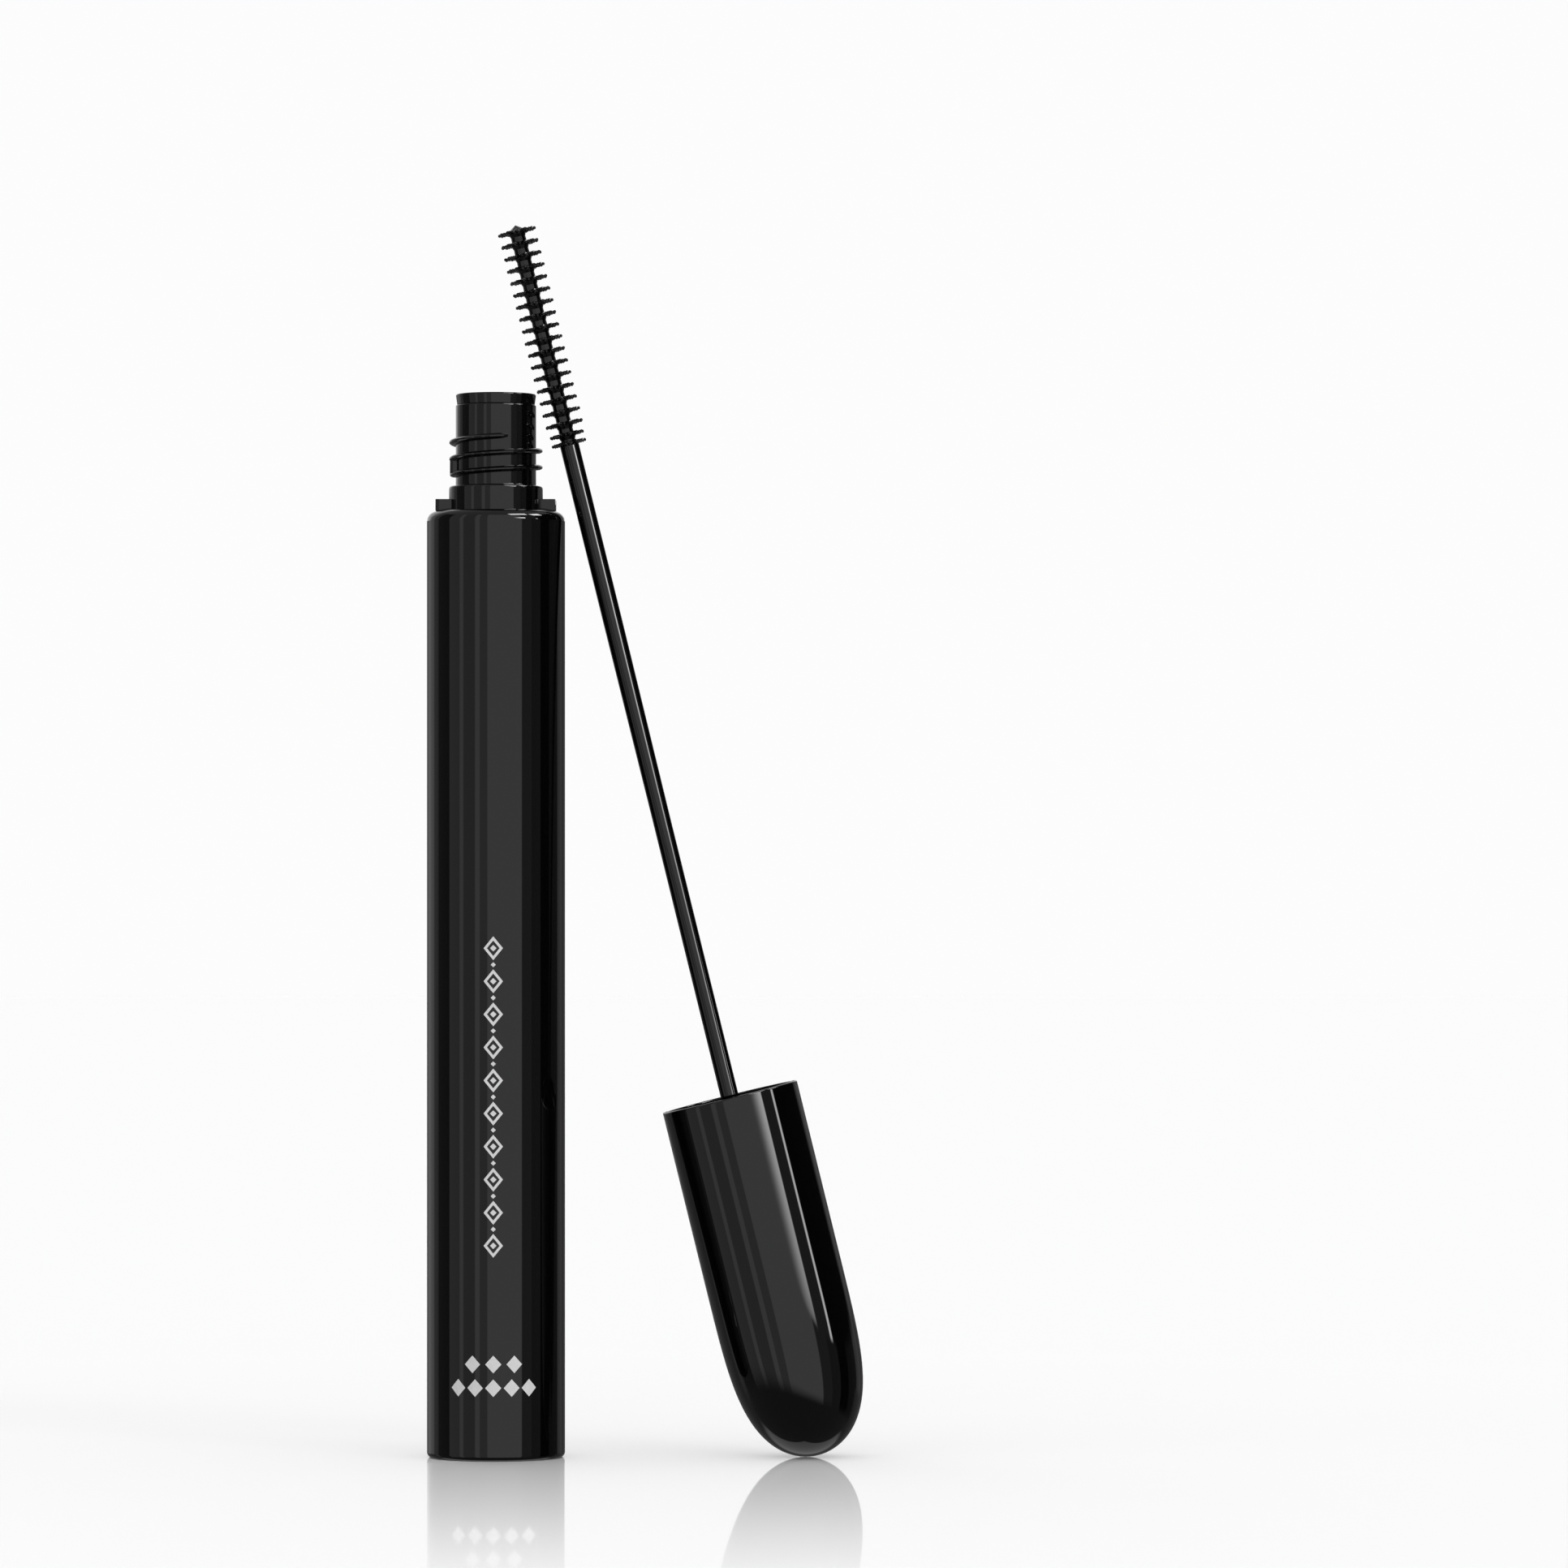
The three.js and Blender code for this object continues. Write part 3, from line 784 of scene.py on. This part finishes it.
# %% Brush sizes
RING_COUNT = 19
RING_RADIUS = 2.12
SMALL_RING_RADIUS = 1.93
SPIKES_PER_RING = 12
CORE_RADIUS = 0.96
WAIST_RADIUS = 0.79
FLANGE_REACH = 1.2
BRUSH_TIP = 97.5
POINT_LENGTH = 0.75
FOOT_TO_FIRST = 0.2
FIRST_GAP = 0.95
SECOND_GAP = 1.2
BEADS = 4
BEAD_RADIUS = 0.225
BEAD_SHRINK = 0.012  # from one bead to the next
TIP_RADIUS = 0.14

root_radius = CORE_RADIUS - 0.1


def ring_heights():
    """Heights of the rings. The two small ones by the stem stand closer together."""
    first = STEM_LENGTH + FOOT_TO_FIRST
    second = first + FIRST_GAP
    third = second + SECOND_GAP
    last = BRUSH_TIP - POINT_LENGTH
    gaps = RING_COUNT - 3
    return [first, second] + [third + (last - third) * i / gaps for i in range(gaps + 1)]


def spike(reach):
    """The outline of one spike, along its own axis: beads, each smaller than the last."""
    length = (reach - root_radius) / BEADS
    outline = [(0, root_radius), (0.2, root_radius)]
    for i in range(BEADS):
        bead = BEAD_RADIUS - BEAD_SHRINK * i
        foot = root_radius + i * length
        outline += [(bead, foot + 0.45 * length), (bead * 0.64, foot + 0.95 * length)]
    return [*outline[:-1], (TIP_RADIUS, reach - 0.05), (0, reach)]


# %% [markdown]
# Above a ring the core steps in to its waist, which catches the light. Before the next ring it
# flares out and faces down, which gives each ring a dark band under it. A flange joins the roots
# of a ring's spikes.

# %% Brush core and flanges
PEG_RADIUS = 0.6
PEG_FOOT = STEM_LENGTH - 1

heights = ring_heights()
core = [(0, PEG_FOOT), (PEG_RADIUS, PEG_FOOT), (0.97, STEM_LENGTH), (CORE_RADIUS, heights[0])]
for lower, upper in zip(heights, heights[1:]):
    core += [
        (CORE_RADIUS, lower + 0.1),
        (WAIST_RADIUS + 0.03, lower + 0.18),
        (WAIST_RADIUS, upper - 0.58),
        (CORE_RADIUS, upper - 0.18),
    ]
core += [(CORE_RADIUS, heights[-1] + 0.14), (0, BRUSH_TIP)]
brush = spin(core, steps=12)
print("core:", len(brush.faces), "faces")

for height in heights:
    flange = spin([
        (root_radius, height - 0.16),
        (FLANGE_REACH, height - 0.09),
        (FLANGE_REACH, height + 0.05),
        (root_radius, height + 0.16),
    ], steps=SPIKES_PER_RING)
    flange_mesh = bpy.data.meshes.new("flange")
    flange.to_mesh(flange_mesh)
    flange.free()
    brush.from_mesh(flange_mesh)
    bpy.data.meshes.remove(flange_mesh)
print("with flanges:", len(brush.faces), "faces")

# %% Rings of spikes
for i, height in enumerate(heights):
    one = spin(spike(SMALL_RING_RADIUS if i < 2 else RING_RADIUS), steps=7)
    outward = Matrix.Translation((0, 0, height * MM)) @ Matrix.Rotation(pi / 2, 4, "Y")
    ring_turn = (i % 3) * (2 / 3) * pi / SPIKES_PER_RING
    turned = Matrix.Rotation(ring_turn, 4, "Z") @ outward
    bmesh.ops.transform(one, matrix=turned, verts=one.verts)
    spike_mesh = bpy.data.meshes.new("spike")
    one.to_mesh(spike_mesh)
    one.free()
    step_round = Matrix.Rotation(2 * pi / SPIKES_PER_RING, 4, "Z")
    for _ in range(SPIKES_PER_RING):
        brush.from_mesh(spike_mesh)
        spike_mesh.transform(step_round)
    bpy.data.meshes.remove(spike_mesh)
finish_piece(
    "spiked_brush", brush, bristle_black, "applicator", "brush", lean=True, crease=15,
)

# %% [markdown]
# ## Floor
# A plain white surface, with a mirror image that fades away from the object, as on polished
# acrylic. The floor is matt white mixed with a mirror, and the share of mirror falls with the
# distance from the object. Reflections don't see the floor, so the black plastic shows the studio.

# %% Floor
FLOOR_HALF_WIDTH = 4
FLOOR_WHITE = (0.93, 0.93, 0.93, 1)
MIRROR_ROUGHNESS = 0.03
MIRROR_REACH = 0.19
STRONGEST_MIRROR = 0.5


def white_acrylic(centre):
    """Matt white that mirrors the object and fades to plain matt at some distance from it."""
    material = bpy.data.materials.new("white_acrylic")
    nodes = Nodes(material)
    place = nodes.make("ShaderNodeTexCoord").outputs["Object"]
    spread = nodes.value(
        "ShaderNodeVectorMath", {"operation": "DISTANCE"}, {0: place, 1: centre}, output=1,
    )
    near = 1 - spread.over(0, MIRROR_REACH)
    white = nodes.make("ShaderNodeBsdfDiffuse", None, {"Color": FLOOR_WHITE})
    mirror = nodes.make("ShaderNodeBsdfGlossy", None, {
        "Color": (1, 1, 1, 1),
        "Roughness": MIRROR_ROUGHNESS,
    })
    both = nodes.make("ShaderNodeMixShader", None, {
        0: near * STRONGEST_MIRROR,
        1: white.outputs[0],
        2: mirror.outputs[0],
    })
    nodes.make("ShaderNodeOutputMaterial", None, {"Surface": both.outputs[0]})
    return material


centre_of_object = (Vector(CAD_BOX[0]) + Vector(CAD_BOX[1])) / 2
floor_centre = Vector((centre_of_object.x, centre_of_object.y, 0))
floor_mesh = bpy.data.meshes.new("floor")
floor_bm = bmesh.new()
bmesh.ops.create_grid(floor_bm, x_segments=1, y_segments=1, size=FLOOR_HALF_WIDTH)
floor_bm.to_mesh(floor_mesh)
floor_bm.free()
floor_mesh.materials.append(white_acrylic(floor_centre))
floor = bpy.data.objects.new("floor", floor_mesh)
bpy.context.scene.collection.objects.link(floor)
floor.visible_glossy = False
print(f"floor {2 * FLOOR_HALF_WIDTH} m wide, mirror fades out {MIRROR_REACH} m from the object")

# %% [markdown]
# ## Studio
# Black gloss shows the room, not itself, so the room is designed. It is all in the world's shader,
# so no real panel can block a view from the side. Angles are in degrees round Z from the front,
# positive to the right, and lift is in degrees above the horizon. The camera itself sees plain
# white instead.
#
# Tall panels with dark gaps between them stand round the object, and they are all that the upright
# tube mirrors. Patches are then laid over them, one after another. The leaning cap and stem look
# further up and down, and they alone catch the softbox edge and the dark flag on the right. The
# ceiling lights the floor. It is dimmer in the gloss, so that it draws no pale line on every
# upper edge.

# %% Studio
PANELS = (  # angle from, angle to, brightness
    (-180, -150, 0.2),
    (-150, -124, 0.43),
    (-124, -110, 0.24),
    (-110, -82, 0.085),
    (-82, -61, 0.42),
    (-61, -54, 0.75),
    (-54, -33, 0.38),
    (-33, -25, 0.8),
    (-25, -12, 0.46),
    (-12, 46, 0.88),
    (46, 64, 0.2),
    (64, 82, 0.12),
    (82, 102, 0.005),
    (102, 127, 0.05),
    (127, 146, 0.2),
    (146, 180, 0.1),
)
PANEL_EDGE = 1.2
PANEL_FOOT = -26
CEILING_FROM = 40
CEILING_BRIGHTNESS = 1.39
CEILING_IN_GLOSS = 0.4
PLAIN_WHITE = 0.975
BACKDROP_FROM = 3.4
BACKDROP_SIDE = 140
BACKDROP_BRIGHTNESS = 0.95
SOFTBOX_FROM = 4.5
SOFTBOX_GAIN = 0.085  # its brightness grows with the square of the lift


def studio(world):
    """The room that the gloss mirrors and that lights the floor."""
    nodes = Nodes(world)
    sight = nodes.make("ShaderNodeTexCoord").outputs["Generated"]
    parts = nodes.make("ShaderNodeSeparateXYZ", None, {0: sight})
    right, away, up = (Value(nodes, parts.outputs[i]) for i in range(3))
    angle = right.math("ARCTAN2", away * -1) * (180 / pi)
    turned_away = angle.math("ABSOLUTE")
    lift = up.math("ARCSINE") * (180 / pi)
    path = nodes.make("ShaderNodeLightPath")
    in_gloss = Value(nodes, path.outputs["Is Glossy Ray"])

    def between(low, high, edge=PANEL_EDGE):
        return angle.over(low - edge, low + edge) - angle.over(high - edge, high + edge)

    def below(low, high):
        return 1 - lift.over(low, high)

    light = angle * 0
    for start, end, brightness in PANELS:
        light = light + between(start, end) * brightness

    above_tube = lift.over(3.5, 6.5)
    softbox_foot = lift.over(SOFTBOX_FROM, SOFTBOX_FROM + 1.5)
    front = 1 - turned_away.over(118, 124)
    rear = 1 - front
    behind = turned_away.over(BACKDROP_SIDE - 6, BACKDROP_SIDE + 6)
    patches = {
        "grey gap": (between(53, 74) * above_tube, 0.2),
        "black flag": (between(76, 150) * above_tube, 0.008),
        "softbox edge": (
            (angle.over(31, 50) - angle.over(52, 54)) * (softbox_foot - lift.over(15, 20)),
            lift * lift * SOFTBOX_GAIN,
        ),
        "thin strip": (between(73, 77, edge=0.8) * (softbox_foot - lift.over(12.3, 13.3)), 8),
        "dark front floor": (front * below(PANEL_FOOT - 5, PANEL_FOOT + 5), 0.11),
        "dark rear floor": (rear * below(-9, -6), 0.12),
        "pale rear floor": (rear * below(-44, -34), 0.7),
        "backdrop": (
            behind * lift.over(BACKDROP_FROM - 0.3, BACKDROP_FROM),
            BACKDROP_BRIGHTNESS - between(120, 164, edge=2) * 0.75,
        ),
        "ceiling": (
            lift.over(CEILING_FROM - 3, CEILING_FROM + 3),
            CEILING_BRIGHTNESS - in_gloss * (CEILING_BRIGHTNESS - CEILING_IN_GLOSS),
        ),
    }
    for mask, brightness in patches.values():
        light = light + (brightness - light) * mask
    room = nodes.make("ShaderNodeBackground", None, {0: (1, 1, 1, 1), 1: light})
    plain = nodes.make("ShaderNodeBackground", None, {0: (1, 1, 1, 1), 1: PLAIN_WHITE})
    both = nodes.make("ShaderNodeMixShader", None, {
        0: path.outputs["Is Camera Ray"],
        1: room.outputs[0],
        2: plain.outputs[0],
    })
    nodes.make("ShaderNodeOutputWorld", None, {"Surface": both.outputs[0]})
    return patches


world = bpy.data.worlds.new("studio")
bpy.context.scene.world = world
patches = studio(world)
bpy.context.scene.view_settings.view_transform = "Standard"
print(len(PANELS), "panels, and over them:", ", ".join(patches))

# %% [markdown]
# Two small bright windows high on the right give the crisp white glints on the shoulder's edge,
# the collar and the thread.

# %% Window lights
WINDOW_BRIGHTNESS = 14
WINDOW_DISTANCE = 0.9


def window(angle, lift, wide, high):
    """A rectangular light aimed at the neck, seen from there under the angles wide and high.
    It only shows in reflections, so it leaves the floor evenly lit."""
    lamp = bpy.data.lights.new("window", "AREA")
    lamp.shape = "RECTANGLE"
    lamp.size = 2 * WINDOW_DISTANCE * tan(radians(wide / 2))
    lamp.size_y = 2 * WINDOW_DISTANCE * tan(radians(high / 2))
    lamp.energy = WINDOW_BRIGHTNESS * pi * lamp.size * lamp.size_y
    light = bpy.data.objects.new("window", lamp)
    direction = Vector((
        sin(radians(angle)) * cos(radians(lift)),
        -cos(radians(angle)) * cos(radians(lift)),
        sin(radians(lift)),
    ))
    target = Vector((0, 0, SHOULDER * MM))
    light.location = target + direction * WINDOW_DISTANCE
    light.rotation_euler = direction.to_track_quat("Z", "Y").to_euler()
    light.visible_camera = False
    light.visible_diffuse = False
    bpy.context.scene.collection.objects.link(light)


window(angle=48, lift=47, wide=26, high=14)
window(angle=86, lift=40, wide=18, high=14)
print("two windows,", WINDOW_DISTANCE, "m from the neck")
